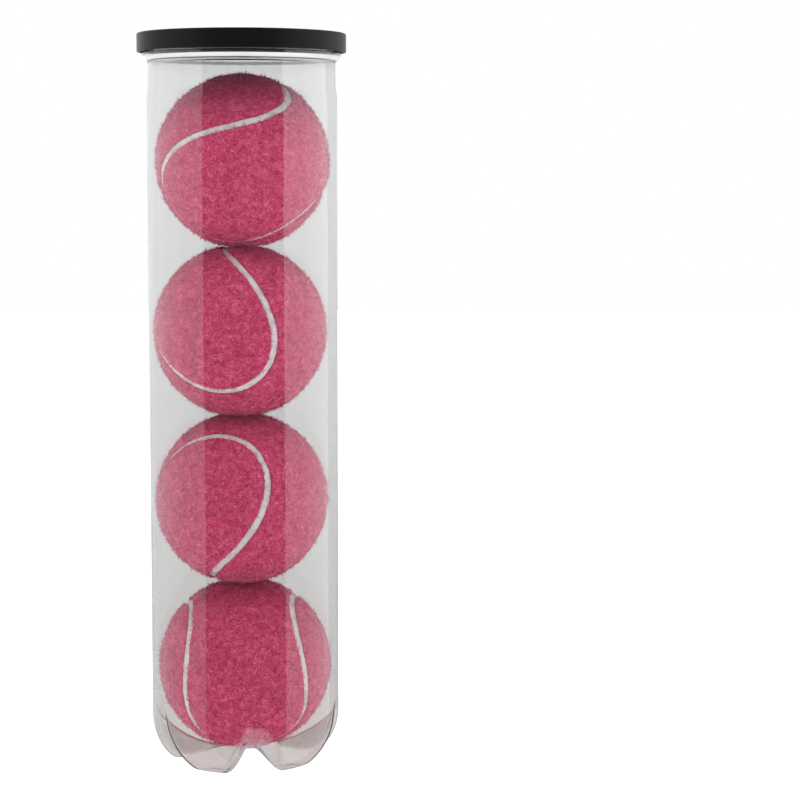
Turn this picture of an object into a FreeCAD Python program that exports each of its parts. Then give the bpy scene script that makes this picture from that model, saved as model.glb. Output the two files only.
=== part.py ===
import FreeCAD, Part
import math
import os

import Sketcher
from BOPTools import SplitAPI
from FreeCAD import Placement, Rotation, Vector

# A clear can of four tennis balls. Millimetres. The can's axis is Z, its feet stand on z = 0, and the
# front of the can is -Y. Balls are numbered from the bottom up.

SIZES = [
    # the can's wall and its five-footed base
    ("wall", "0.5"),
    ("can_radius", "36.85"),
    ("strap_centre", "53.6"),      # height of the centre that the straps between the feet curve about
    ("strap_radius", "49"),
    ("strap_fillet", "10"),        # where a strap runs up into the wall
    ("pad_inner", "23.5"),         # inner radius of the ring that the feet stand on
    ("foot_corner", "4.5"),
    ("foot_side", "25"),           # radius of a foot's side, seen in section
    ("foot_side_top", "19"),       # height where that side turns into the straight wall
    ("floor_half", "1.6"),         # half width of a strap's flat floor
    ("flank_run", "4"),            # width of the slope beside a strap, before its share of the depth
    ("flank_share", "0.37"),
    ("pad_trim", "0.1"),           # trimmed off the feet to leave level pads
    ("hub_disc", "3"),
    ("base_turn", "6.8"),          # turns the strap at the front towards +X, in degrees
    # neck, flange and the finish that the lid pushes on
    ("shoulder_low", "260.4"),
    ("shoulder_high", "264.8"),
    ("neck_radius", "36.25"),
    ("flange_low", "273.4"),
    ("flange_edge_low", "275.8"),
    ("flange_edge_high", "276.9"),
    ("flange_high", "277.5"),
    ("flange_radius", "38.5"),
    ("flange_root", "38"),
    ("groove_wall", "0.6"),        # the wall follows the flange, so there is a groove inside it
    ("groove_low", "273.6"),
    ("groove_edge_low", "275.9"),
    ("groove_edge_high", "276.7"),
    ("groove_high", "277.8"),
    ("finish_radius", "37.3"),
    ("bead_low", "280.6"),
    ("bead_mid", "281.3"),
    ("bead_high", "282.1"),
    ("bead_radius", "38"),
    ("rim_edge", "282.9"),
    ("rim_top", "283.4"),
    ("rim_round", "36.9"),
    # lid
    ("lid_radius", "40.4"),
    ("lid_low", "277.6"),
    ("lid_high", "284.8"),
    ("lid_skirt", "1.2"),
    ("lid_round", "0.8"),
    ("lid_bead_radius", "38.3"),
    ("lid_bead_low", "278.4"),
    ("lid_bead_mid", "279.1"),
    ("lid_bead_top", "279.7"),
    ("lid_bead_high", "280.3"),
    ("lid_ledge", "283.6"),        # underside that lies over the rim
    ("plug_radius", "35"),         # shallow plug inside the mouth
    ("plug_low", "283"),
    ("panel_high", "284.2"),       # recessed panel inside the lid's raised edge
    ("panel_radius", "36.6"),
    ("panel_edge", "37.2"),
    # balls
    ("ball_radius", "32.8"),
    ("felt", "3"),
    ("glue", "0.1"),
    ("core_wall", "3.4"),
    ("seam_width", "2.8"),
    ("seam_recess", "1.2"),
    ("first_ball", "38.2"),
    ("ball_pitch", "65.9"),
    # sizes that follow from the ones above
    ("bore_radius", "=can_radius - wall"),
    ("mouth_radius", "=neck_radius - wall"),
    ("groove_radius", "=flange_radius - groove_wall"),
    ("wall_low", "=strap_centre - sqrt((strap_radius - strap_fillet)^2 - (can_radius - strap_fillet)^2)"),
    ("skirt_inside", "=lid_radius - lid_skirt"),
    ("lid_round_low", "=lid_high - lid_round"),
    ("lid_round_in", "=lid_radius - lid_round"),
    ("felt_inside", "=ball_radius - felt"),
    ("core_radius", "=felt_inside - glue"),
    ("core_hollow", "=core_radius - core_wall"),
    ("seam_radius", "=ball_radius - seam_recess"),
]

# sideways offset in the can, then yaw, pitch and roll, for each ball from the bottom up
BALLS = [
    (-0.2, 138, -15, 160),
    (-1.1, 22, 38, 36),
    (-1.3, -79, -37, 33),
    (0.0, -86, 69, 120),
]

FEET = 5
SEAM_WAVE = 0.2      # share of the three-lobed wave in the seam's curve

doc = FreeCAD.newDocument("tennis_ball_can")
sheet = doc.addObject("Spreadsheet::Sheet", "sizes")
for row, (alias, value) in enumerate(SIZES, start=1):
    sheet.set(f"A{row}", alias)
    sheet.set(f"B{row}", value)
    sheet.setAlias(f"B{row}", alias)
doc.recompute()


def size(alias):
    return float(sheet.get(alias))


# ---- turned shapes ---------------------------------------------------------------------------------


def origin_plane(body, role):
    return next(feature for feature in body.Origin.OriginFeatures if feature.Role == role)


def bind(sketch, index, alias):
    sketch.setExpression(f"Constraints[{index}]", f"sizes.{alias}")


def place_corner(sketch, edge, radius, height):
    if radius == "axis":
        sketch.addConstraint(Sketcher.Constraint("PointOnObject", edge, 1, -2))
    else:
        across = Sketcher.Constraint("DistanceX", -1, 1, edge, 1, size(radius))
        bind(sketch, sketch.addConstraint(across), radius)
    up = Sketcher.Constraint("DistanceY", -1, 1, edge, 1, size(height))
    bind(sketch, sketch.addConstraint(up), height)


def turned_body(name, corners, rounds=()):
    """A body of revolution. corners holds pairs of sheet names, and rounds says which edges are arcs."""
    body = doc.addObject("PartDesign::Body", name)
    sketch = body.newObject("Sketcher::SketchObject", name + "_profile")
    sketch.AttachmentSupport = [(origin_plane(body, "XZ_Plane"), "")]
    sketch.MapMode = "FlatFace"
    points = [Vector(0 if r == "axis" else size(r), size(z), 0) for r, z in corners]
    count = len(points)
    for edge, start in enumerate(points):
        end = points[(edge + 1) % count]
        if edge in rounds:
            # a quarter round whose centre lies inwards and down from both ends
            centre = Vector(min(start.x, end.x), min(start.y, end.y), 0)
            radius = (start - centre).Length
            circle = Part.Circle(centre, Vector(0, 0, 1), radius)
            sketch.addGeometry(Part.ArcOfCircle(circle, 0, math.pi / 2))
        else:
            sketch.addGeometry(Part.LineSegment(start, end))
    for edge in range(count):
        following = (edge + 1) % count
        sketch.addConstraint(Sketcher.Constraint("Coincident", edge, 2, following, 1))
        place_corner(sketch, edge, *corners[edge])
    for edge, radius in dict(rounds).items():
        arc = Sketcher.Constraint("Radius", edge, size(radius))
        bind(sketch, sketch.addConstraint(arc), radius)
    turn = body.newObject("PartDesign::Revolution", name + "_turn")
    turn.Profile = sketch
    turn.ReferenceAxis = (sketch, ["V_Axis"])
    turn.Angle = 360
    doc.recompute()
    return body


# ---- the can ---------------------------------------------------------------------------------------


def ray_to_circle(angle, centre_height, centre, radius):
    """Distance along a ray from the strap centre to the far side of a circle."""
    across = math.sin(angle) * centre[0] - math.cos(angle) * (centre[1] - centre_height)
    apart = math.hypot(centre[0], centre[1] - centre_height)
    return across + math.sqrt(radius ** 2 - apart ** 2 + across ** 2)


class BaseForm:
    """The skin of the base, moved inwards by depth, as distances from the strap centre."""

    def __init__(self, depth, ground):
        self.centre = size("strap_centre")
        self.radius = size("can_radius") - depth
        self.strap = size("strap_radius") - depth
        self.floor_half = size("floor_half") + 0.8 * depth
        self.ground = ground
        # a strap runs into the wall through a fillet
        fillet = size("strap_fillet") - depth
        reach = math.sqrt((self.strap - fillet) ** 2 - (self.radius - fillet) ** 2)
        self.fillet = ((self.radius - fillet, self.centre - reach), fillet)
        self.fillet_from = math.atan2(self.radius - fillet, reach)
        self.top = math.atan2(self.radius, reach)
        # a foot is a level pad, a corner round and a side round
        side = size("foot_side") - depth
        corner = size("foot_corner") - depth
        side_centre = (self.radius - side, size("foot_side_top"))
        drop = side_centre[1] - corner - self.ground
        corner_centre = (side_centre[0] + math.sqrt((side - corner) ** 2 - drop ** 2), corner + self.ground)
        self.side = (side_centre, side)
        self.corner = (corner_centre, corner)
        share = side / (side - corner)
        joint_r = side_centre[0] + (corner_centre[0] - side_centre[0]) * share
        joint_z = side_centre[1] + (corner_centre[1] - side_centre[1]) * share
        self.corner_from = math.atan2(corner_centre[0], self.centre - self.ground)
        self.side_from = math.atan2(joint_r, self.centre - joint_z)
        self.wall_from = math.atan2(self.radius, self.centre - size("foot_side_top"))
        self.pad_from = math.atan2(size("pad_inner"), self.centre - self.ground)

    def strap_reach(self, angle):
        if angle <= self.fillet_from:
            return self.strap
        return ray_to_circle(angle, self.centre, *self.fillet)

    def foot_reach(self, angle):
        if angle < self.pad_from:
            part = angle / self.pad_from
            pad = (self.centre - self.ground) / math.cos(self.pad_from)
            depth = (pad - self.strap) * part ** 2 * (3 - 2 * part)
            slope = pad * math.tan(self.pad_from) * self.pad_from * part ** 2 * (part - 1)
            return self.strap + depth + slope
        if angle < self.corner_from:
            return (self.centre - self.ground) / math.cos(angle)
        if angle < self.side_from:
            return ray_to_circle(angle, self.centre, *self.corner)
        if angle < self.wall_from:
            return ray_to_circle(angle, self.centre, *self.side)
        return self.radius / math.sin(angle)

    def point(self, angle, azimuth):
        """azimuth is zero on a strap's centre line. Half way to the next strap is a foot's middle."""
        strap = self.strap_reach(angle)
        foot = self.foot_reach(angle)
        depth = foot - strap
        waves = FEET / 2
        across = foot * math.sin(angle) / waves * abs(math.sin(waves * azimuth))
        run = size("flank_run") + size("flank_share") * depth
        part = min(max((across - self.floor_half) / run, 0), 1)
        reach = strap + depth * part ** 2 * (3 - 2 * part)
        out = reach * math.sin(angle)
        front = azimuth - math.pi / 2
        return Vector(out * math.cos(front), out * math.sin(front), self.centre - reach * math.cos(angle))


def lies_level(edge, height):
    box = edge.BoundBox
    return abs(box.ZMin - height) < 0.01 and abs(box.ZMax - height) < 0.01


def base_form(name, depth, ground, rows=60, columns=41):
    """A solid filled up to the level where the straight wall starts."""
    form = BaseForm(depth, ground)
    hub = math.asin(size("hub_disc") / form.strap)
    sector = 2 * math.pi / FEET
    grid = []
    for row in range(rows):
        angle = hub + (form.top - hub) * row / (rows - 1)
        grid.append([form.point(angle, sector * column / (columns - 1)) for column in range(columns)])
    patch = Part.BSplineSurface()
    patch.interpolate(grid)
    faces = []
    for foot in range(FEET):
        face = patch.toShape()
        face.rotate(Vector(), Vector(0, 0, 1), math.degrees(sector) * foot)
        faces.append(face)
    for height in (grid[0][0].z, grid[-1][0].z):
        ring = [edge for face in faces for edge in face.Edges if lies_level(edge, height)]
        faces.append(Part.Face(Part.Wire(Part.sortEdges(ring)[0])))
    shell = Part.makeShell(faces)
    shell.sewShape(0.01)
    solid = Part.Solid(shell)
    if solid.Volume < 0:
        solid.reverse()
    feature = doc.addObject("Part::Feature", name)
    feature.Shape = solid
    return feature


def make_can():
    outer = base_form("base_outside", 0, -size("pad_trim"))
    inner = base_form("base_inside", size("wall"), size("wall"))
    hollow_base = doc.addObject("Part::Cut", "hollow_base")
    hollow_base.Base = outer
    hollow_base.Tool = inner
    floor = doc.addObject("Part::Box", "floor")
    for side in ("Length", "Width"):
        floor.setExpression(side, "sizes.can_radius * 2")
    floor.Placement = Placement(Vector(-size("can_radius"), -size("can_radius"), -floor.Height.Value), Rotation())
    base = doc.addObject("Part::Cut", "base")
    base.Base = hollow_base
    base.Tool = floor
    tube = turned_body("tube", [
        ("bore_radius", "wall_low"),
        ("can_radius", "wall_low"),
        ("can_radius", "shoulder_low"),
        ("neck_radius", "shoulder_high"),
        ("neck_radius", "flange_low"),
        ("flange_radius", "flange_edge_low"),
        ("flange_radius", "flange_edge_high"),
        ("flange_root", "flange_high"),
        ("finish_radius", "flange_high"),
        ("finish_radius", "bead_low"),
        ("bead_radius", "bead_mid"),
        ("bead_radius", "bead_high"),
        ("finish_radius", "rim_edge"),
        ("rim_round", "rim_top"),
        ("mouth_radius", "rim_top"),
        ("mouth_radius", "groove_high"),
        ("groove_radius", "groove_edge_high"),
        ("groove_radius", "groove_edge_low"),
        ("mouth_radius", "groove_low"),
        ("mouth_radius", "shoulder_high"),
        ("bore_radius", "shoulder_low"),
    ])
    can = doc.addObject("Part::Fuse", "can_body")
    can.Base = base
    can.Tool = tube
    can.Placement = Placement(Vector(), Rotation(Vector(0, 0, 1), size("base_turn")))
    return can


def make_lid():
    return turned_body("lid", [
        ("axis", "plug_low"),
        ("plug_radius", "plug_low"),
        ("plug_radius", "lid_ledge"),
        ("skirt_inside", "lid_ledge"),
        ("skirt_inside", "lid_bead_high"),
        ("lid_bead_radius", "lid_bead_top"),
        ("lid_bead_radius", "lid_bead_mid"),
        ("skirt_inside", "lid_bead_low"),
        ("skirt_inside", "lid_low"),
        ("lid_radius", "lid_low"),
        ("lid_radius", "lid_round_low"),
        ("lid_round_in", "lid_high"),
        ("panel_edge", "lid_high"),
        ("panel_radius", "panel_high"),
        ("axis", "panel_high"),
    ], {10: "lid_round"})


# ---- the balls -------------------------------------------------------------------------------------


def seam_line(turn, side):
    """Direction to the seam, or to one edge of its band, from the ball's centre."""
    wide, wave = 1 - SEAM_WAVE, SEAM_WAVE
    tall = 2 * math.sqrt(wide * wave)
    middle = Vector(
        wide * math.cos(turn) + wave * math.cos(3 * turn),
        wide * math.sin(turn) - wave * math.sin(3 * turn),
        tall * math.sin(2 * turn),
    )
    along = Vector(
        -wide * math.sin(turn) - 3 * wave * math.sin(3 * turn),
        wide * math.cos(turn) - 3 * wave * math.cos(3 * turn),
        2 * tall * math.cos(2 * turn),
    )
    along.normalize()
    return middle * math.cos(side) + middle.cross(along) * math.sin(side)


def seam_wall(offset, points=48):
    """A cone-like wall from the ball's centre out through one edge of the seam band."""
    side = offset / size("ball_radius")
    rings = []
    for radius in (size("felt_inside") - 2, size("ball_radius") + 2):
        curve = Part.BSplineCurve()
        line = [seam_line(2 * math.pi * k / points, side) * radius for k in range(points)]
        curve.interpolate(Points=line, PeriodicFlag=True)
        rings.append(curve.toShape())
    return Part.makeRuledSurface(*rings)


def split_by_seam(outside, offset):
    """The two panels and the band between them, cut from a shell around the core."""
    shell = Part.makeSphere(outside).cut(Part.makeSphere(size("felt_inside")))
    walls = [seam_wall(offset), seam_wall(-offset)]
    parts = sorted(SplitAPI.slice(shell, walls, "Split").Solids, key=lambda part: part.Volume)
    band, panels = parts[0], sorted(parts[1:], key=lambda part: part.CenterOfMass.z)
    return band, panels


def add_shape(name, shape, placement):
    feature = doc.addObject("Part::Feature", name)
    feature.Shape = shape.copy()
    feature.Placement = placement
    return feature


def half_ball(name, alias, low):
    ball = doc.addObject("Part::Sphere", name)
    ball.setExpression("Radius", f"sizes.{alias}")
    ball.Angle1 = -90 if low else 0
    ball.Angle2 = 0 if low else 90
    return ball


def core_half(name, letter, placement):
    outside = half_ball(name + "_outside", "core_radius", letter == "b")
    hollow = half_ball(name + "_hollow", "core_hollow", letter == "b")
    shell = doc.addObject("Part::Cut", name)
    shell.Base = outside
    shell.Tool = hollow
    lift = size("glue") / 2 * (1 if letter == "a" else -1)
    shell.Placement = placement.multiply(Placement(Vector(0, 0, lift), Rotation()))
    return shell


def make_balls():
    band_half = size("seam_width") / 2
    band = split_by_seam(size("seam_radius"), band_half)[0]
    panels = split_by_seam(size("ball_radius"), band_half + size("glue"))[1]
    nodes = []
    for number, (shift, yaw, pitch, roll) in enumerate(BALLS, start=1):
        height = size("first_ball") + (number - 1) * size("ball_pitch")
        placement = Placement(Vector(shift, 0, height), Rotation(yaw, pitch, roll))
        name = f"ball_{number}"
        nodes.append(add_shape(f"{name}_felt_a", panels[0], placement))
        nodes.append(add_shape(f"{name}_felt_b", panels[1], placement))
        nodes.append(add_shape(f"{name}_seam", band, placement))
        nodes.append(core_half(f"{name}_core_half_a", "a", placement))
        nodes.append(core_half(f"{name}_core_half_b", "b", placement))
    return nodes


nodes = [make_can(), make_lid()] + make_balls()
doc.recompute()

for item in doc.Objects:
    if "Invalid" in item.State or "Error" in item.State:
        raise RuntimeError(f"{item.Label} did not build: {item.State}")
for node in nodes:
    if node.Shape.isNull() or not node.Shape.isValid() or len(node.Shape.Solids) != 1:
        raise RuntimeError(f"{node.Label} has a bad shape")

os.makedirs("parts", exist_ok=True)
for node in nodes:
    node.Shape.exportStep(f"parts/{node.Label}.step")
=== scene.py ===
import math

import bpy
import numpy as np
from mathutils import Euler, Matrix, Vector, noise


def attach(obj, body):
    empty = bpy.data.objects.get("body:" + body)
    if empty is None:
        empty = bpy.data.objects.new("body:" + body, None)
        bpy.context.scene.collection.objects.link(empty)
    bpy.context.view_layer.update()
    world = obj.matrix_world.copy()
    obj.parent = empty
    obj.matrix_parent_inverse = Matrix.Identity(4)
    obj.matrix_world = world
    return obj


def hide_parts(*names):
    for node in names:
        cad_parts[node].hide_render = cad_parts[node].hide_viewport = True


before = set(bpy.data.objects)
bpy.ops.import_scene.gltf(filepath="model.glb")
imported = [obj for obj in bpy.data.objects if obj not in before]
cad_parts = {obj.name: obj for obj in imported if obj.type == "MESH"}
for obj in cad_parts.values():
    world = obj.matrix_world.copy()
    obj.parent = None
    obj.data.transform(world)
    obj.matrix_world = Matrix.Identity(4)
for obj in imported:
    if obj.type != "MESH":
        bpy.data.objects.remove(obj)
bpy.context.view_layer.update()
MM = 0.001

# Sizes in millimetres. The can's axis is Z, its feet stand on z = 0 and its front is -Y.
CAN_RADIUS = 36.85
WALL = 0.5
BASE_TOP = 25.31

# the base is measured from a point high on the axis, down to its hub and to the straps between its feet
STRAP_CENTRE = 53.6
HUB_REACH = 49
FEET = 5
FEET_TURN = math.radians(6.8)

# the blown wall strays from true between these heights
WARP_FROM = 30
WARP_TO = 258

# each ball's sideways offset, then its yaw, pitch and roll in degrees, from the bottom ball up
BALLS = [
    (-0.2, 138, -15, 160),
    (-1.1, 22, 38, 36),
    (-1.3, -79, -37, 33),
    (0.0, -86, 69, 120),
]
BALL_HEIGHTS = [38.2, 104.1, 170.0, 235.9]
BALL_PITCH = 65.9

# the cloth's surface, its underside, the rounding of its cut edge, and the furthest that loose wool stands
FELT_RADIUS = 33.4
FELT_INSIDE = 29.8
FELT_EDGE = 0.9
NAP_RADIUS = 34.95

# how far down from the strap centre the bottom ball's wool may reach, just short of the can's floor
FLOOR_REACH = 48.35

# half the width of the seam between two panels, and how strongly its line waves round the ball
SEAM_HALF = 1.62
SEAM_WAVE = 0.2


# ---- meshes ----------------------------------------------------------------------------------------


def add_mesh(name, points, triangles, material):
    """A smooth mesh object from numpy arrays, points in millimetres."""
    mesh = bpy.data.meshes.new(name)
    mesh.vertices.add(len(points))
    mesh.vertices.foreach_set("co", (np.asarray(points) * MM).ravel())
    mesh.loops.add(triangles.size)
    mesh.loops.foreach_set("vertex_index", triangles.ravel().astype(np.int32))
    mesh.polygons.add(len(triangles))
    corners = triangles.shape[1]
    mesh.polygons.foreach_set("loop_start", np.arange(len(triangles), dtype=np.int32) * corners)
    mesh.update(calc_edges=True)
    mesh.shade_smooth()
    mesh.materials.append(material)
    piece = bpy.data.objects.new(name, mesh)
    bpy.context.scene.collection.objects.link(piece)
    return piece


def grid_faces(rows, columns, close_rows=False):
    """Quads of a grid whose columns run right round, and whose rows may too."""
    last = rows if close_rows else rows - 1
    row, column = np.meshgrid(np.arange(last), np.arange(columns), indexing="ij")
    above, beside = (row + 1) % rows, (column + 1) % columns
    quads = [
        row * columns + column,
        row * columns + beside,
        above * columns + beside,
        above * columns + column,
    ]
    return np.stack(quads, axis=-1).reshape(-1, 4)


def capped_tube(rings, first_height, last_height):
    """Points and triangles of a tube of rings, each end closed by a fan round a point on the axis."""
    rows, columns = rings.shape[:2]
    points = rings.reshape(-1, 3)
    first, last = len(points), len(points) + 1
    points = np.vstack([points, [[0, 0, first_height], [0, 0, last_height]]])
    quads = grid_faces(rows, columns)
    start = (rows - 1) * columns
    fans = [(first, (k + 1) % columns, k) for k in range(columns)]
    fans += [(last, start + k, start + (k + 1) % columns) for k in range(columns)]
    return points, np.vstack([quads[:, [0, 1, 2]], quads[:, [0, 2, 3]], np.array(fans)])


def rounded(corners, steps=5):
    """A line through (radius, height, rounding) corners, with each corner rounded."""
    line = []
    for index, (out, height, radius) in enumerate(corners):
        corner = np.array([out, height], float)
        if radius == 0:
            line.append(corner)
            continue
        before = np.array(corners[index - 1][:2]) - corner
        after = np.array(corners[index + 1][:2]) - corner
        length_before, length_after = np.linalg.norm(before), np.linalg.norm(after)
        before, after = before / length_before, after / length_after
        half = math.acos(np.clip(before @ after, -1, 1)) / 2
        back = min(radius / math.tan(half), length_before * 0.48, length_after * 0.48)
        for step in range(steps + 1):
            share = step / steps
            start = corner + before * back
            end = corner + after * back
            line.append((1 - share) ** 2 * start + 2 * share * (1 - share) * corner + share ** 2 * end)
    return line


def divided(line, longest):
    """The same line with its long runs divided into parts no longer than longest."""
    points = [line[0]]
    for end in line[1:]:
        parts = max(1, math.ceil(np.linalg.norm(end - points[-1]) / longest))
        start = points[-1]
        points += [start + (end - start) * k / parts for k in range(1, parts + 1)]
    return points


def turned(line, columns):
    """Rings of points of a turned shape, one ring for each (radius, height) point of the line."""
    turn = 2 * np.pi * np.arange(columns) / columns
    line = np.array(line)
    radius = line[:, :1]
    height = np.repeat(line[:, 1:], columns, axis=1)
    return np.stack([radius * np.cos(turn), radius * np.sin(turn), height], axis=-1)


# ---- shader nodes ----------------------------------------------------------------------------------


class Tree:
    """Short ways to add and join nodes in a material or the world."""

    def __init__(self, owner):
        owner.use_nodes = True
        self.nodes, self.links = owner.node_tree.nodes, owner.node_tree.links
        self.nodes.clear()

    def add(self, kind, **inputs):
        node = self.nodes.new("ShaderNode" + kind)
        for name, value in inputs.items():
            self.set(node, name.replace("_", " "), value)
        return node

    def set(self, node, name, value):
        socket = node.inputs[int(name)] if name.isdigit() else node.inputs[name]
        if isinstance(value, bpy.types.NodeSocket):
            self.links.new(value, socket)
        else:
            socket.default_value = value

    def math(self, operation, *values):
        node = self.nodes.new("ShaderNodeMath")
        node.operation = operation
        for index, value in enumerate(values):
            self.set(node, str(index), value)
        return node.outputs[0]

    def noise(self, place, scale, detail=2.0, roughness=0.5):
        node = self.add("TexNoise", Vector=place, Scale=scale, Detail=detail, Roughness=roughness)
        return node.outputs[0]

    def ramp(self, value, stops, interpolation="LINEAR"):
        node = self.add("ValToRGB", Fac=value)
        node.color_ramp.interpolation = interpolation
        elements = node.color_ramp.elements
        while len(elements) < len(stops):
            elements.new(0.5)
        for element, (place, colour) in zip(elements, stops):
            element.position = place
            element.color = (*colour, 1)
        return node.outputs[0]

    def place(self):
        return self.add("TexCoord").outputs["Object"]

    def bump(self, height, strength, distance):
        return self.add("Bump", Height=height, Strength=strength, Distance=distance).outputs[0]


def new_material(name):
    material = bpy.data.materials.new(name)
    return material, Tree(material)


def finish_material(tree, shader):
    tree.add("OutputMaterial", Surface=shader)


# ---- materials -------------------------------------------------------------------------------------


def clear_plastic():
    """Wavy, slightly hazy clear plastic. Its tint is darker towards the bottom as painted shade and a little
    warmer in the base, and a ring under the flange is a painted highlight.
    """
    material, tree = new_material("clear_blown_plastic")
    place = tree.place()
    stretched = tree.add("Mapping", Vector=place, Scale=(1.0, 1.0, 0.12)).outputs[0]
    flow = tree.noise(stretched, 260.0, 2.0)
    peel = tree.noise(place, 900.0, 1.0)
    waves = tree.math("ADD", flow, tree.math("MULTIPLY", peel, 0.25))
    haze = tree.noise(place, 70.0, 3.0)
    roughness = tree.math("MULTIPLY", haze, 0.05)
    height = tree.add("SeparateXYZ", Vector=place).outputs[2]
    # the haze term varies the tint at random; the height term darkens it towards the bottom as painted shade
    haze_and_painted_shade = tree.math("MULTIPLY_ADD", haze, 0.1, tree.math("MULTIPLY", height, 2.6))
    tint_with_painted_shade = tree.ramp(haze_and_painted_shade, [
        (0.06, (0.785, 0.752, 0.738)),
        (0.14, (0.742, 0.74, 0.736)),
        (0.75, (0.83, 0.833, 0.835)),
    ])
    # a narrow ring, in metres, where the plastic flares out under the flange; it is made less clear there so
    # it shows pale, as a painted highlight
    highlight_height, highlight_half, highlight_fade = 0.2752, 0.0005, 0.0004
    from_highlight = tree.math("ABSOLUTE", tree.math("SUBTRACT", height, highlight_height))
    past_highlight = tree.math("SUBTRACT", from_highlight, highlight_half)
    clearness_with_painted_highlight = tree.add(
        "MapRange", Value=past_highlight, From_Min=0.0, From_Max=highlight_fade, To_Min=0.55, To_Max=1.0,
    )
    glass = tree.add(
        "BsdfPrincipled", Base_Color=tint_with_painted_shade, Roughness=roughness, Normal=tree.bump(waves, 0.12, 0.0002),
        Transmission_Weight=clearness_with_painted_highlight.outputs[0], IOR=1.5,
    )
    # soft light and shadows pass straight through, so the balls are lit inside the can
    clear = tree.add("BsdfTransparent", Color=(0.93, 0.935, 0.94, 1))
    path = tree.add("LightPath")
    soft = tree.math("MAXIMUM", path.outputs["Is Shadow Ray"], path.outputs["Is Diffuse Ray"])
    mix = tree.add("MixShader", **{"0": soft, "1": glass.outputs[0], "2": clear.outputs[0]})
    finish_material(tree, mix.outputs[0])
    return material


def black_plastic():
    """Satin black plastic with a fine grain and faint scuffs that run round the lid."""
    material, tree = new_material("black_moulded_plastic")
    place = tree.place()
    grain = tree.noise(place, 2600.0, 2.0)
    wide = tree.noise(place, 60.0, 3.0)
    scuffs = tree.add("Mapping", Vector=place, Scale=(1.0, 1.0, 9.0)).outputs[0]
    scuffs = tree.noise(scuffs, 420.0, 4.0, 0.7)
    colour = tree.ramp(scuffs, [(0.35, (0.0032, 0.0035, 0.0037)), (0.72, (0.006, 0.0065, 0.0067))])
    roughness = tree.math("MULTIPLY_ADD", wide, 0.12, 0.3)
    height = tree.math("ADD", grain, tree.math("MULTIPLY", scuffs, 0.3))
    shader = tree.add(
        "BsdfPrincipled", Base_Color=colour, Roughness=roughness, Normal=tree.bump(height, 0.16, 0.0001),
        Specular_IOR_Level=0.12,
    )
    finish_material(tree, shader.outputs[0])
    return material


def felt():
    """Pink wool with pale flecks, and a pale sheen where it is seen edge on."""
    material, tree = new_material("pink_felt")
    place = tree.place()
    fleck = tree.noise(place, 2100.0, 3.0, 0.65)
    clump = tree.noise(place, 480.0, 2.0)
    mixed = tree.math("ADD", tree.math("MULTIPLY", fleck, 0.62), tree.math("MULTIPLY", clump, 0.23))
    mixed = tree.math("ADD", mixed, 0.045)
    colour = tree.ramp(mixed, [
        (0.31, (0.38, 0.017, 0.062)),
        (0.47, (0.505, 0.046, 0.122)),
        (0.64, (0.86, 0.25, 0.385)),
    ])
    shader = tree.add(
        "BsdfPrincipled", Base_Color=colour, Roughness=0.95, Normal=tree.bump(fleck, 0.22, 0.0003),
        Specular_IOR_Level=0.15, Sheen_Weight=0.9, Sheen_Roughness=0.3, Sheen_Tint=(1.0, 0.58, 0.86, 1),
    )
    finish_material(tree, shader.outputs[0])
    return material


def seam_rubber():
    """Off-white rubber, faintly soiled with pink."""
    material, tree = new_material("white_seam_rubber")
    place = tree.place()
    soil = tree.noise(place, 260.0, 4.0, 0.6)
    grain = tree.noise(place, 1900.0, 2.0)
    colour = tree.ramp(soil, [
        (0.32, (0.50, 0.42, 0.435)),
        (0.55, (0.66, 0.61, 0.615)),
        (0.8, (0.74, 0.70, 0.70)),
    ])
    shader = tree.add(
        "BsdfPrincipled", Base_Color=colour, Roughness=0.62, Normal=tree.bump(grain, 0.25, 0.0002),
        Specular_IOR_Level=0.35,
    )
    finish_material(tree, shader.outputs[0])
    return material


def core_rubber():
    """The dark rubber of the core halves, which keep their CAD meshes."""
    material, tree = new_material("dark_core_rubber")
    place = tree.place()
    speck = tree.noise(place, 800.0, 3.0)
    colour = tree.ramp(speck, [(0.35, (0.010, 0.009, 0.009)), (0.7, (0.024, 0.022, 0.022))])
    shader = tree.add(
        "BsdfPrincipled", Base_Color=colour, Roughness=0.72, Normal=tree.bump(speck, 0.3, 0.0002),
    )
    finish_material(tree, shader.outputs[0])
    return material


# ---- can and lid -----------------------------------------------------------------------------------


def ray_to_circle(angle, centre, radius):
    """Distance from the strap centre, along a ray, to the far side of a circle."""
    along = math.sin(angle) * centre[0] - math.cos(angle) * (centre[1] - STRAP_CENTRE)
    apart = math.hypot(centre[0], centre[1] - STRAP_CENTRE)
    return along + math.sqrt(radius ** 2 - apart ** 2 + along ** 2)


def eased(part):
    """A share that starts and ends gently."""
    return part ** 2 * (3 - 2 * part)


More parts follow.
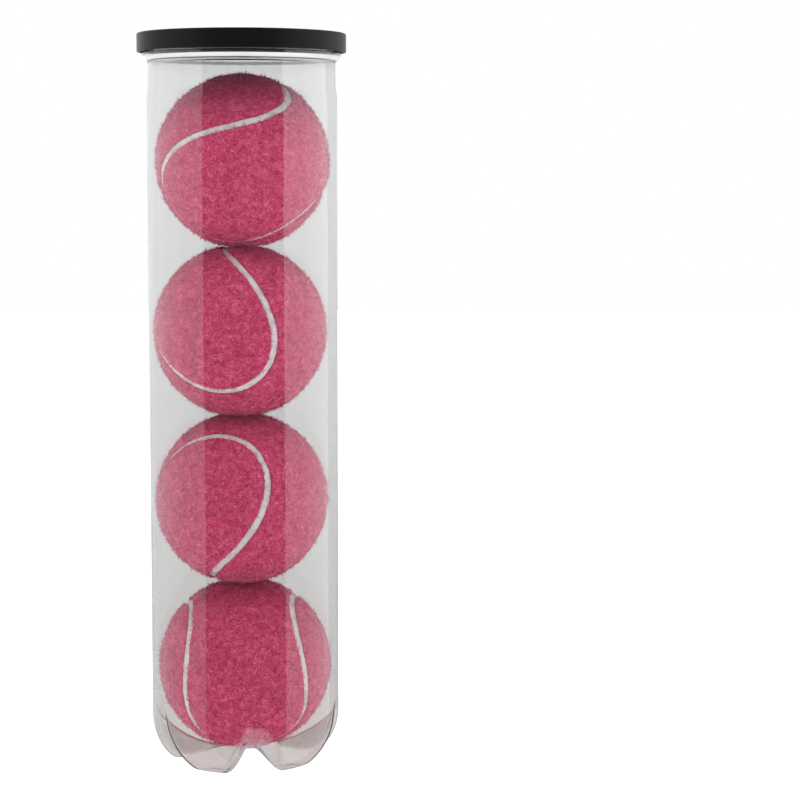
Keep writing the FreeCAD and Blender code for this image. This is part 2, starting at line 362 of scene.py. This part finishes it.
class BaseForm:
    """The five-footed base, moved inwards by depth, as distances from the strap centre."""

    FILLET = 10
    FOOT_SIDE = 25
    FOOT_SIDE_HEIGHT = 19
    FOOT_CORNER = 4.5
    PAD_FROM = 23.5
    STRAP_HALF = 1.6

    def __init__(self, depth):
        fillet, side, corner = self.FILLET - depth, self.FOOT_SIDE - depth, self.FOOT_CORNER - depth
        self.radius = CAN_RADIUS - depth
        self.strap = HUB_REACH - depth
        self.floor_half = self.STRAP_HALF + 0.8 * depth
        self.ground = depth
        # the fillet from a strap to the wall
        reach = math.sqrt((self.strap - fillet) ** 2 - (self.radius - fillet) ** 2)
        self.fillet = ((self.radius - fillet, STRAP_CENTRE - reach), fillet)
        self.fillet_from = math.atan2(self.radius - fillet, reach)
        self.top = math.atan2(self.radius, reach)
        # a foot's curved side, and the corner between it and the pad
        side_centre = (self.radius - side, self.FOOT_SIDE_HEIGHT)
        drop = side_centre[1] - corner - self.ground
        corner_centre = (side_centre[0] + math.sqrt((side - corner) ** 2 - drop ** 2), corner + self.ground)
        self.side, self.corner = (side_centre, side), (corner_centre, corner)
        share = side / (side - corner)
        joint = [a + (b - a) * share for a, b in zip(side_centre, corner_centre)]
        self.pad_from = math.atan2(self.PAD_FROM, STRAP_CENTRE - self.ground)
        self.corner_from = math.atan2(corner_centre[0], STRAP_CENTRE - self.ground)
        self.side_from = math.atan2(joint[0], STRAP_CENTRE - joint[1])
        self.wall_from = math.atan2(self.radius, STRAP_CENTRE - self.FOOT_SIDE_HEIGHT)

    def strap_reach(self, angle):
        return self.strap if angle <= self.fillet_from else ray_to_circle(angle, *self.fillet)

    def foot_reach(self, angle):
        if angle < self.pad_from:
            part = angle / self.pad_from
            pad = (STRAP_CENTRE - self.ground) / math.cos(self.pad_from)
            slope = pad * math.tan(self.pad_from) * self.pad_from
            return self.strap + (pad - self.strap) * eased(part) + slope * part ** 2 * (part - 1)
        if angle < self.corner_from:
            return (STRAP_CENTRE - self.ground) / math.cos(angle)
        if angle < self.side_from:
            return ray_to_circle(angle, *self.corner)
        if angle < self.wall_from:
            return ray_to_circle(angle, *self.side)
        return self.radius / math.sin(angle)

    def ring(self, angle, columns):
        """One ring of points. A strap's centre line is at the front, and a foot half way to the next."""
        strap, foot = self.strap_reach(angle), self.foot_reach(angle)
        turn = 2 * np.pi * np.arange(columns) / columns
        across = foot * math.sin(angle) / (FEET / 2) * np.abs(np.sin(FEET / 2 * turn))
        flank = 4 + 0.37 * (foot - strap)
        part = np.clip((across - self.floor_half) / flank, 0, 1)
        reach = strap + (foot - strap) * eased(part)
        front = turn - np.pi / 2 + FEET_TURN
        out = reach * math.sin(angle)
        height = STRAP_CENTRE - reach * math.cos(angle)
        return np.stack([out * np.cos(front), out * np.sin(front), height], axis=-1)

    def rings(self, columns, rows=72):
        return [self.ring(self.top * (row / rows), columns) for row in range(1, rows + 1)]


def can_profile():
    """The can above its base: up the outside, over the rim and down the inside."""
    inside, mouth, neck = CAN_RADIUS - WALL, 35.75, 36.25
    flange, groove, finish, bead = 38.45, 37.9, 37.3, 37.95
    body_top, neck_from, flare_from, rim_top = 260.4, 264.8, 273.6, 283.4
    up = [
        (CAN_RADIUS, BASE_TOP, 0), (CAN_RADIUS, body_top, 9), (neck, neck_from, 9), (neck, flare_from, 1.6),
        (flange, 275.7, 1.2), (flange, 277.3, 0.5), (finish, 277.5, 0.2), (finish, 280.7, 0.3),
        (bead, 281.3, 0.3), (bead, 282.1, 0.3), (finish, 282.9, 0.3), (36.9, rim_top, 0.25),
    ]
    down = [
        (mouth, rim_top, 0.25), (mouth, 277.8, 0.4), (groove, 276.7, 0.4), (groove, 275.9, 0.9),
        (mouth, flare_from, 1.4), (mouth, neck_from, 9), (inside, body_top, 9), (inside, BASE_TOP, 0),
    ]
    return divided(rounded(up + down), 7)


def lid_profile():
    """The lid's underside, from the middle outwards, then round its skirt and back over its top."""
    middle, plug, bead, skirt, outside = 0.4, 35.0, 38.35, 39.2, 40.38
    low, under, ceiling, panel, high = 277.6, 283.0, 283.6, 284.2, 284.8
    return divided(rounded([
        (middle, under, 0), (plug, under, 0.3), (plug, ceiling, 0.2), (skirt, ceiling, 0.3),
        (skirt, 280.3, 0.3), (bead, 279.7, 0.2), (bead, 279.1, 0.2), (skirt, 278.4, 0.3),
        (skirt, low, 0.15), (outside, low, 0.28), (outside, high, 0.75), (37.3, high, 0.35),
        (36.7, panel, 0.4), (middle, panel, 0),
    ]), 4)


def warped(rings):
    """Rings of the can with its wall a little out of true, as a blown wall is."""
    for ring in rings:
        height = ring[:, 2].mean()
        if WARP_FROM < height < WARP_TO:
            ease = min((height - WARP_FROM) / 20, (WARP_TO - height) / 20, 1)
            for point in ring:
                warp = noise.noise(Vector((point[0] / 26, point[1] / 26, height / 70)))
                point[:2] *= 1 + 0.0022 * ease * warp
    return rings


def make_can(material, columns=280):
    # the turned part starts at the same angle as the base rings
    turn = FEET_TURN - math.pi / 2
    spin = np.array([[math.cos(turn), math.sin(turn), 0], [-math.sin(turn), math.cos(turn), 0], [0, 0, 1]])
    upper = turned(can_profile(), columns) @ spin
    outside = BaseForm(0).rings(columns)
    inside = BaseForm(WALL).rings(columns)
    rings = warped(np.array(outside[:-1] + list(upper) + inside[-2::-1]))
    hub = STRAP_CENTRE - HUB_REACH
    points, triangles = capped_tube(rings, hub, hub + WALL)
    piece = add_mesh("can_shell", points, triangles, material)
    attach(piece, "can")
    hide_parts("can_body")


def make_lid(material, columns=280):
    line = lid_profile()
    points, triangles = capped_tube(turned(line, columns), line[0][1], line[-1][1])
    piece = add_mesh("lid_cap", points, triangles, material)
    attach(piece, "lid")
    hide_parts("lid")


# ---- balls -----------------------------------------------------------------------------------------


def seam_curve(turn):
    """Unit directions to the seam, and unit directions across it."""
    wide, wave = 1 - SEAM_WAVE, SEAM_WAVE
    tall = 2 * math.sqrt(wide * wave)
    middle = np.stack([
        wide * np.cos(turn) + wave * np.cos(3 * turn),
        wide * np.sin(turn) - wave * np.sin(3 * turn),
        tall * np.sin(2 * turn),
    ], axis=-1)
    along = np.stack([
        -wide * np.sin(turn) - 3 * wave * np.sin(3 * turn),
        wide * np.cos(turn) - 3 * wave * np.cos(3 * turn),
        2 * tall * np.cos(2 * turn),
    ], axis=-1)
    along /= np.linalg.norm(along, axis=1, keepdims=True)
    return middle, np.cross(middle, along)


SEAM_MIDDLE, SEAM_ACROSS = seam_curve(np.linspace(0, 2 * np.pi, 1440, endpoint=False))


def seam_distance(directions):
    """Signed distance from the seam, in millimetres along the ball's surface."""
    result = np.empty(len(directions))
    batch = 8000
    for start in range(0, len(directions), batch):
        part = directions[start:start + batch]
        nearest = np.argmax(part @ SEAM_MIDDLE.T, axis=1)
        across = np.einsum("ij,ij->i", part, SEAM_ACROSS[nearest])
        chord = np.linalg.norm(part - SEAM_MIDDLE[nearest], axis=1)
        far = np.sign(across) * 2 * np.arcsin(np.clip(chord / 2, 0, 1))
        near = np.arcsin(np.clip(across, -1, 1))
        result[start:start + batch] = np.where(chord < 0.12, near, far)
    return result * FELT_RADIUS


def noise_at(directions, shift, size):
    """Smooth noise over a ball's surface, in patches of about that size in millimetres."""
    return np.array([noise.noise((Vector(point) + shift) / size) for point in directions * FELT_RADIUS])


def felt_inset(side, directions, distance):
    """How far inside a panel's cut edge each point lies. The edge strays unevenly over the seam."""
    shift = Vector((side * 40.0, 0, 0))
    stray = 0.28 + 0.45 * noise_at(directions, shift, 8.0) + 0.2 * noise_at(directions, shift, 1.4)
    return side * distance - SEAM_HALF + np.clip(stray, 0.02, 0.85)


def geodesic(parts):
    """A unit sphere of nearly even triangles: an icosahedron with each edge divided."""
    gold = (1 + 5 ** 0.5) / 2
    corners = [(-1, gold, 0), (1, gold, 0), (-1, -gold, 0), (1, -gold, 0), (0, -1, gold), (0, 1, gold),
               (0, -1, -gold), (0, 1, -gold), (gold, 0, -1), (gold, 0, 1), (-gold, 0, -1), (-gold, 0, 1)]
    corners = np.array(corners) / math.hypot(1, gold)
    distances = np.linalg.norm(corners[:, None] - corners[None], axis=2)
    close = np.abs(distances - distances[distances > 0].min()) < 1e-6
    sides = [(a, b, c) for a in range(12) for b in range(a + 1, 12) for c in range(b + 1, 12)
             if close[a, b] and close[b, c] and close[a, c]]
    points, triangles = [], []
    for a, b, c in sides:
        if np.dot(np.cross(corners[b] - corners[a], corners[c] - corners[a]), corners[a]) < 0:
            b, c = c, b
        start = sum(len(block) for block in points)
        i, j = np.meshgrid(np.arange(parts + 1), np.arange(parts + 1), indexing="ij")
        inside = i + j <= parts
        index = np.full(i.shape, -1)
        index[inside] = start + np.arange(inside.sum())
        i, j = i[inside, None] / parts, j[inside, None] / parts
        points.append((1 - i - j) * corners[a] + i * corners[b] + j * corners[c])
        up = [index[:-1, :-1], index[1:, :-1], index[:-1, 1:]]
        down = [index[1:, :-1], index[1:, 1:], index[:-1, 1:]]
        for group in (up, down):
            rows = np.stack(group, axis=-1).reshape(-1, 3)
            triangles.append(rows[(rows >= 0).all(axis=1)])
    points = np.vstack(points)
    points /= np.linalg.norm(points, axis=1, keepdims=True)
    _, first, same = np.unique(np.round(points, 6), axis=0, return_index=True, return_inverse=True)
    return points[first], same.ravel()[np.vstack(triangles)]


def clipped(points, triangles, values):
    """The part of a mesh where values are positive, cut cleanly at zero, and its rim as vertex pairs."""
    inside = values > 0
    count = inside[triangles].sum(axis=1)
    kept = [triangles[count == 3]]
    extra, made, rim = [], {}, []

    def crossing(a, b):
        key = (min(a, b), max(a, b))
        if key not in made:
            share = values[a] / (values[a] - values[b])
            made[key] = len(points) + len(extra)
            extra.append(points[a] + (points[b] - points[a]) * share)
        return made[key]

    for triangle in triangles[(count == 1) | (count == 2)]:
        state = inside[triangle]
        lone = int(np.argmax(state)) if state.sum() == 1 else int(np.argmin(state))
        a, b, c = (int(triangle[(lone + k) % 3]) for k in range(3))
        ab, ca = crossing(a, b), crossing(a, c)
        if state.sum() == 1:
            kept.append(np.array([[a, ab, ca]]))
            rim.append((ab, ca))
        else:
            kept.append(np.array([[ab, b, c], [ab, c, ca]]))
            rim.append((ca, ab))
    everything = np.vstack([points] + ([np.array(extra)] if extra else []))
    triangles = np.vstack(kept)
    used = np.unique(triangles)
    renumber = np.full(len(everything), -1)
    renumber[used] = np.arange(len(used))
    directions = everything[used]
    directions /= np.linalg.norm(directions, axis=1, keepdims=True)
    return directions, renumber[triangles], [(renumber[a], renumber[b]) for a, b in rim]


def loop_of(rim):
    """Rim vertices in order round the loop."""
    following = dict(rim)
    start = next(iter(following))
    loop = [start]
    while following[loop[-1]] != start:
        loop.append(following[loop[-1]])
    return loop


def zipped(first, second, first_turn, second_turn):
    """Triangles that join two loops, walking both by their place along the seam."""
    triangles = []
    i = j = 0
    while i < len(first) or j < len(second):
        next_first = first_turn[i + 1] if i < len(first) else math.inf
        next_second = second_turn[j + 1] if j < len(second) else math.inf
        a, b = first[i % len(first)], second[j % len(second)]
        if next_first <= next_second:
            i += 1
            triangles.append((a, b, first[i % len(first)]))
        else:
            j += 1
            triangles.append((a, b, second[j % len(second)]))
    return triangles


def place_along(directions):
    """Place along the seam of each point of a loop, as a share of its length, rising round the loop."""
    nearest = np.argmax(directions @ SEAM_MIDDLE.T, axis=1) / len(SEAM_MIDDLE)
    steps = np.diff(np.append(nearest, nearest[0]))
    steps -= np.round(steps)
    places = np.concatenate([[nearest[0]], nearest[0] + np.cumsum(steps)])
    return places if places[-1] > places[0] else -places


class Panel:
    """One felt panel of a plain ball, as directions from the ball's centre. side is 1 or -1."""

    def __init__(self, side, fine, coarse):
        self.side = side
        top, top_faces, top_rim = self.cut(*fine)
        under, under_faces, under_rim = self.cut(*coarse)
        self.top_count = len(top)
        self.directions = np.vstack([top, under])
        self.inset = felt_inset(side, self.directions, seam_distance(self.directions))
        outer, inner = loop_of(top_rim), loop_of(under_rim)
        outer_turn, inner_turn = place_along(top[outer]), place_along(under[inner])
        # start the inner loop at the point nearest the outer loop's start
        shift = int(np.argmin(np.abs((inner_turn[:-1] - outer_turn[0] + 0.5) % 1 - 0.5)))
        inner = inner[shift:] + inner[:shift]
        inner_turn = place_along(under[inner])
        inner_turn = inner_turn + round(outer_turn[0] - inner_turn[0])
        inner = [index + len(top) for index in inner]
        band = np.array(zipped(outer, inner, outer_turn, inner_turn))
        self.faces = np.vstack([top_faces, under_faces[:, ::-1] + len(top), band[:, ::-1]])

    def cut(self, points, triangles, distance):
        return clipped(points, triangles, felt_inset(self.side, points, distance))


def edge_round(inset):
    """How far the felt drops towards its cut edge."""
    share = 1 - np.clip(inset / FELT_EDGE, 0, 1)
    return FELT_EDGE * (1 - np.sqrt(1 - share ** 2))


def lumps(directions, seed):
    """Uneven nap, in millimetres."""
    shift = Vector((seed * 17.3, seed * 5.9, -seed * 11.7))
    return 0.24 * noise_at(directions, shift, 1.0) + 0.15 * noise_at(directions, shift, 3.2)


def tufts(roots, seed):
    """How far the wool stands up at each root, from 0 where it lies flat to 1 in a tuft."""
    shift = Vector((seed * 3.7, -seed * 9.1, seed * 6.3))
    heights = noise_at(roots, shift, 1.2) + 0.6 * noise_at(roots, shift, 3.6)
    return np.clip(0.45 + 1.2 * heights, 0, 1)


def squeeze(points, number, gap):
    """Flattens a ball's points where they would pass into the next ball, or the can's floor."""
    limit = BALL_PITCH / 2 - gap
    height = points[:, 2]
    if number < len(BALLS):
        height = np.minimum(height, limit)
    if number > 1:
        height = np.maximum(height, -limit)
    points = np.column_stack([points[:, :2], height])
    if number == 1:
        strap_centre = np.array([-BALLS[0][0], 0, STRAP_CENTRE - BALL_HEIGHTS[0]])
        away = points - strap_centre
        distance = np.linalg.norm(away, axis=1, keepdims=True)
        points = strap_centre + away * np.minimum(1, FLOOR_REACH / distance)
    return points


def fibre_roots(panel, count, random):
    """Random places on a panel, clear of the seam, and how far inside the cut edge each lies."""
    roots = random.normal(size=(count * 3, 3))
    roots /= np.linalg.norm(roots, axis=1, keepdims=True)
    distance = seam_distance(roots)
    chosen = panel.side * distance > 0.8
    roots, distance = roots[chosen][:count], distance[chosen][:count]
    inset = felt_inset(panel.side, roots, distance)
    return roots[inset > 0.05], inset[inset > 0.05]


def fibre_leans(roots, random, seed):
    """Directions along the surface. Fibres lean every way, but neighbours lean alike."""
    lean = random.normal(size=roots.shape) + 0.9 * np.sin(roots[:, [1, 2, 0]] * 9 + seed)
    lean -= roots * np.einsum("ij,ij->i", lean, roots)[:, None]
    return lean / np.linalg.norm(lean, axis=1, keepdims=True)


def spikes(rings, tips):
    """Thin closed spikes, cut short at NAP_RADIUS. Each has three-cornered rings, base first, and a tip."""
    last = 3 * (len(rings) - 1)
    pattern = [(2, 1, 0)]
    for k in range(3):
        beside = (k + 1) % 3
        for low in range(0, last, 3):
            high = low + 3
            pattern += [(low + k, low + beside, high + beside), (low + k, high + beside, high + k)]
        pattern.append((last + k, last + beside, last + 3))
    points = np.stack([corner for ring in rings for corner in ring] + [tips], axis=1)
    reach = np.linalg.norm(points, axis=2, keepdims=True)
    points *= np.minimum(1, NAP_RADIUS / reach)
    count, size = points.shape[:2]
    faces = np.array(pattern)[None] + (np.arange(count) * size)[:, None, None]
    return points.reshape(-1, 3), faces.reshape(-1, 3)


def fibres(panel, count, seed, bent):
    """Loose wool standing out of a panel: thin closed spikes, straight or bent."""
    random = np.random.default_rng(seed)
    roots, inset = fibre_roots(panel, count, random)
    count = len(roots)
    lean = fibre_leans(roots, random, seed)
    length = random.uniform(0.8, 2.0, count)[:, None] * (1.25 if bent else 1)
    # much short wool, and less and less of it further out
    stand = 0.3 + 1.5 * tufts(roots, seed // 10)
    rise = (0.05 + 0.58 * -np.log(1 - 0.94 * random.uniform(0, 1, count)) * stand)[:, None]
    length = np.maximum(length, rise * 1.06)
    upright = np.minimum(rise / length, 0.95)
    heading = roots * upright + lean * np.sqrt(1 - upright ** 2)
    across = np.cross(heading, random.normal(size=(count, 3)))
    across /= np.linalg.norm(across, axis=1, keepdims=True)
    third = np.cross(heading, across)
    width = random.uniform(0.06, 0.14, count)[:, None]
    turns = [2 * np.pi * k / 3 for k in range(3)]
    spokes = [width * (across * math.cos(turn) + third * math.sin(turn)) for turn in turns]
    bend = across * random.uniform(-0.5, 0.5, count)[:, None] * length
    base = roots * (FELT_RADIUS - edge_round(inset) - 0.15)[:, None]
    rings = [[base + spoke for spoke in spokes]]
    tips = base + heading * length
    if bent:
        middle = base + heading * length * 0.5 + bend * 0.5
        rings.append([middle + spoke * 0.8 for spoke in spokes])
        tips = base + heading * length * 0.95 - roots * length * 0.12
    return spikes(rings, tips)


def cloth(panel, seed):
    """The panel's own points: uneven on top, rounded down at the cut edge, and plain underneath."""
    top = panel.directions[:panel.top_count]
    edge = edge_round(panel.inset[:panel.top_count])
    radius = np.full(len(panel.directions), FELT_INSIDE + 0.05)
    radius[:panel.top_count] = FELT_RADIUS - edge + lumps(top, seed) * np.clip(1 - edge, 0.2, 1)
    return panel.directions * radius[:, None]


def ball_matrix(number):
    shift, yaw, pitch, roll = BALLS[number - 1]
    turn = Euler((math.radians(roll), math.radians(pitch), math.radians(yaw)), "XYZ").to_matrix()
    return np.array(turn), np.array([shift, 0, BALL_HEIGHTS[number - 1]])


def make_felt(number, letter, panel, material):
    """A panel's cloth and all its loose wool as one piece."""
    turn, centre = ball_matrix(number)
    seed = number * 10 + (1 if letter == "a" else 2)
    blocks = [squeeze(cloth(panel, seed) @ turn.T, number, 0.03)]
    faces = [panel.faces]
    count = len(blocks[0])
    many = 1
    for amount, bent in ((int(19500 * many), False), (int(6000 * many), True)):
        wool, wool_faces = fibres(panel, amount, seed * 2 + bent, bent)
        blocks.append(squeeze(wool @ turn.T, number, 0.01))
        faces.append(wool_faces + count)
        count += len(wool)
    piece = add_mesh(f"nap_{number}_{letter}", np.vstack(blocks) + centre, np.vstack(faces), material)
    # single fibres are too thin for smoothed normals
    smooth = np.arange(len(piece.data.polygons)) < len(panel.faces)
    piece.data.polygons.foreach_set("use_smooth", smooth)
    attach(piece, f"ball_{number}")
    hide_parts(f"ball_{number}_felt_{letter}")


def make_seam(number, material, columns=420):
    """A slightly domed rubber band lying lower than the felt."""
    turn, centre = ball_matrix(number)
    middle, across = seam_curve(np.linspace(0, 2 * np.pi, columns, endpoint=False))
    half = SEAM_HALF - 0.04
    foot, side_top, shoulder, crown = FELT_INSIDE + 0.06, 32.2, 32.45, 32.56
    section = [(-half, foot), (-half, side_top), (-half * 0.93, shoulder)]
    section += [(half * u, crown + 0.16 * (1 - u * u)) for u in np.linspace(-0.8, 0.8, 7)]
    section += [(half * 0.93, shoulder), (half, side_top), (half, foot)]
    rings = []
    for offset, radius in section:
        side = offset / FELT_RADIUS
        ring = middle * math.cos(side) + across * math.sin(side)
        if radius > side_top:
            shift = Vector((number * 3.1, 0, offset * 2))
            wobble = np.array([noise.noise(Vector(point) * 22 + shift) for point in ring])
            rings.append(ring * (radius + 0.09 * wobble)[:, None])
        else:
            rings.append(ring * radius)
    points = squeeze(np.array(rings).reshape(-1, 3) @ turn.T, number, 0.12)
    quads = grid_faces(len(rings), columns, close_rows=True)
    piece = add_mesh(f"seam_band_{number}", points + centre, quads[:, ::-1], material)
    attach(piece, f"ball_{number}")
    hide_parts(f"ball_{number}_seam")


def seamed_sphere(parts):
    """A sphere's points and triangles, and each point's distance from the seam."""
    points, triangles = geodesic(parts)
    return points, triangles, seam_distance(points)


def make_balls():
    fine = seamed_sphere(66)
    coarse = seamed_sphere(18)
    panels = {"a": Panel(1, fine, coarse), "b": Panel(-1, fine, coarse)}
    wool, white, dark = felt(), seam_rubber(), core_rubber()
    for number in range(1, len(BALLS) + 1):
        for letter, panel in panels.items():
            make_felt(number, letter, panel, wool)
        make_seam(number, white)
        for letter in panels:
            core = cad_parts[f"ball_{number}_core_half_{letter}"]
            core.data.materials.clear()
            core.data.materials.append(dark)


# ---- stage -----------------------------------------------------------------------------------------


def make_camera():
    tilt_down, turn_right = math.radians(5.62), math.radians(3.9)
    camera = bpy.data.objects.new("camera", bpy.data.cameras.new("camera"))
    bpy.context.scene.collection.objects.link(camera)
    camera.data.lens = 103.5
    camera.data.sensor_width = 36
    camera.data.clip_start = 0.02
    camera.location = (0, -0.9, 0.231)
    camera.rotation_euler = (math.pi / 2 - tilt_down, 0, -turn_right)
    bpy.context.scene.camera = camera


def add_softbox(name, place, target, width, height, power):
    light = bpy.data.lights.new(name, "AREA")
    light.shape = "RECTANGLE"
    light.size, light.size_y = width, height
    light.energy = power
    lamp = bpy.data.objects.new(name, light)
    bpy.context.scene.collection.objects.link(lamp)
    lamp.location = place
    lamp.rotation_euler = (Vector(target) - Vector(place)).to_track_quat("-Z", "Y").to_euler()
    # reflections and the view through the can see the studio's white walls instead
    lamp.visible_camera = lamp.visible_glossy = lamp.visible_transmission = False


def make_lights():
    add_softbox("softbox_left", (-1.15, -0.35, 0.2), (0, 0, 0.2), width=1.05, height=2.4, power=7.4)
    add_softbox("softbox_right", (1.05, -0.52, 0.2), (0, 0, 0.2), width=0.62, height=2.4, power=8.6)
    add_softbox("softbox_top", (0, -0.25, 1.25), (0, 0, 0.15), width=1.2, height=1.2, power=11)


def make_world():
    """White all round, but mirrored in the can and the lid it is a studio with light and dark walls."""
    world = bpy.data.worlds.new("white_studio")
    bpy.context.scene.world = world
    tree = Tree(world)
    axes = tree.add("SeparateXYZ", Vector=tree.add("TexCoord").outputs["Generated"])
    path = tree.add("LightPath")
    # the brightness from each angle on, in degrees from the front: the back, a wall and a panel on the left,
    # a dim front, then a panel and a wall on the right, and the back again
    room = [(-180, 1.1), (-125, 1.25), (-82, 1.05), (-49.5, 0.07), (49.5, 1.4), (82, 1.6), (125, 0.9)]
    ahead = tree.math("MULTIPLY", axes.outputs[1], -1.0)
    turn = tree.math("DIVIDE", tree.math("ARCTAN2", axes.outputs[0], ahead), 2 * math.pi)
    # the levels are halved in the ramp, which keeps its colours below 1, and doubled after it
    stops = [(0.5 + degrees / 360, (level / 2,) * 3) for degrees, level in room]
    walls = tree.math("MULTIPLY", tree.ramp(tree.math("ADD", turn, 0.5), stops, "CONSTANT"), 2.0)
    # the walls get darker below the horizon
    low = tree.add("MapRange", Value=axes.outputs[2], From_Min=-0.3, From_Max=-0.02, To_Min=0.6, To_Max=1.0)
    walls = tree.math("MULTIPLY", walls, low.outputs[0])
    # rays that have been through more than two surfaces of the can see plain white
    mirrored = tree.math("MINIMUM", path.outputs["Glossy Depth"], 1.0)
    near = tree.math("LESS_THAN", path.outputs["Transmission Depth"], 2.5)
    mirrored = tree.math("MULTIPLY", mirrored, near)
    strength = tree.math("MULTIPLY_ADD", tree.math("SUBTRACT", walls, 1.0), mirrored, 1.0)
    # the light that falls on the felt is a little dimmer than the background
    strength = tree.math("MULTIPLY_ADD", path.outputs["Is Diffuse Ray"], -0.22, strength)
    sky = tree.add("Background", Color=(1, 1, 1, 1), Strength=strength)
    # the ray type is only known to rays that really reach the sky
    world.cycles.sampling_method = "NONE"
    tree.add("OutputWorld", Surface=sky.outputs[0])


def make_floor():
    """A white floor that glows enough to vanish into the background, and is not mirrored in the can."""
    mesh = bpy.data.meshes.new("floor")
    half = 3.0
    corners = [(-half, -half, 0), (half, -half, 0), (half, half, 0), (-half, half, 0)]
    mesh.from_pydata(corners, [], [(0, 1, 2, 3)])
    floor = bpy.data.objects.new("floor", mesh)
    bpy.context.scene.collection.objects.link(floor)
    material, tree = new_material("pale_floor")
    white = tree.add("BsdfDiffuse", Color=(0.5, 0.5, 0.5, 1))
    glow = tree.add("Emission", Strength=1.15)
    lit = tree.add("AddShader", **{"0": white.outputs[0], "1": glow.outputs[0]})
    clear = tree.add("BsdfTransparent")
    glossy = tree.add("LightPath").outputs["Is Glossy Ray"]
    mix = tree.add("MixShader", **{"0": glossy, "1": lit.outputs[0], "2": clear.outputs[0]})
    finish_material(tree, mix.outputs[0])
    mesh.materials.append(material)


# ---- everything ------------------------------------------------------------------------------------

bpy.context.scene.view_settings.view_transform = "Standard"
make_camera()
make_world()
make_lights()
make_floor()

make_can(clear_plastic())
make_lid(black_plastic())
make_balls()
